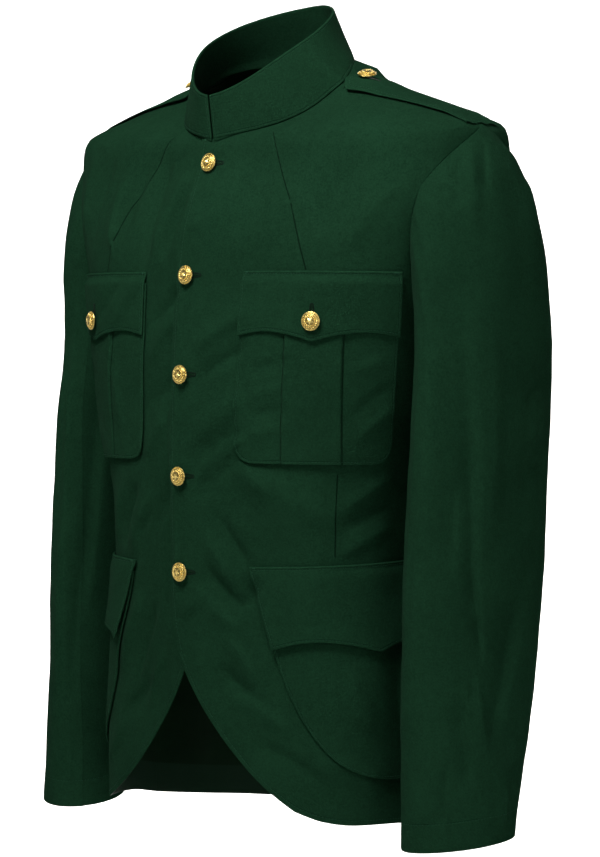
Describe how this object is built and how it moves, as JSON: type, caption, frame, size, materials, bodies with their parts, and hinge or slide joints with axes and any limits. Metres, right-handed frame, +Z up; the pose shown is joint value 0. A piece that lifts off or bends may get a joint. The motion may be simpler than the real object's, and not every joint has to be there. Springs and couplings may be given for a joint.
{
  "type": "military dress tunic",
  "caption": "Empty wool dress tunic on a worn form: stand collar, buttoned cutaway front, shoulder straps, patch pockets with scalloped flaps, two-piece sleeves.",
  "frame": {"origin": "on the middle plane between the shoulders, level with the side neck points, where the wearer's shoulders hold the garment", "axes": "+Z up along the wearer, -Y the way the wearer faces, +X to the wearer's left"},
  "size_m": [0.5542, 0.2801, 0.7655],
  "materials": {
    "cloth": "bottle green wool barathea, a matt fine twill",
    "gilt": "polished gilt"
  },
  "bodies": {
    "root": {"front_left": "cloth", "front_right": "cloth", "back": "cloth", "collar": "cloth", "sleeve_top_left": "cloth", "sleeve_top_right": "cloth", "sleeve_under_left": "cloth", "sleeve_under_right": "cloth", "shoulder_strap_left": "cloth", "shoulder_strap_right": "cloth", "chest_pocket_left": "cloth", "chest_pocket_right": "cloth", "chest_flap_left": "cloth", "chest_flap_right": "cloth", "hip_pocket_left": "cloth", "hip_pocket_right": "cloth", "hip_flap_left": "cloth", "hip_flap_right": "cloth", "button_front_1": "gilt", "button_front_2": "gilt", "button_front_3": "gilt", "button_front_4": "gilt", "button_front_5": "gilt", "button_chest_left": "gilt", "button_chest_right": "gilt", "button_strap_left": "gilt", "button_strap_right": "gilt"}
  },
  "joints": []
}
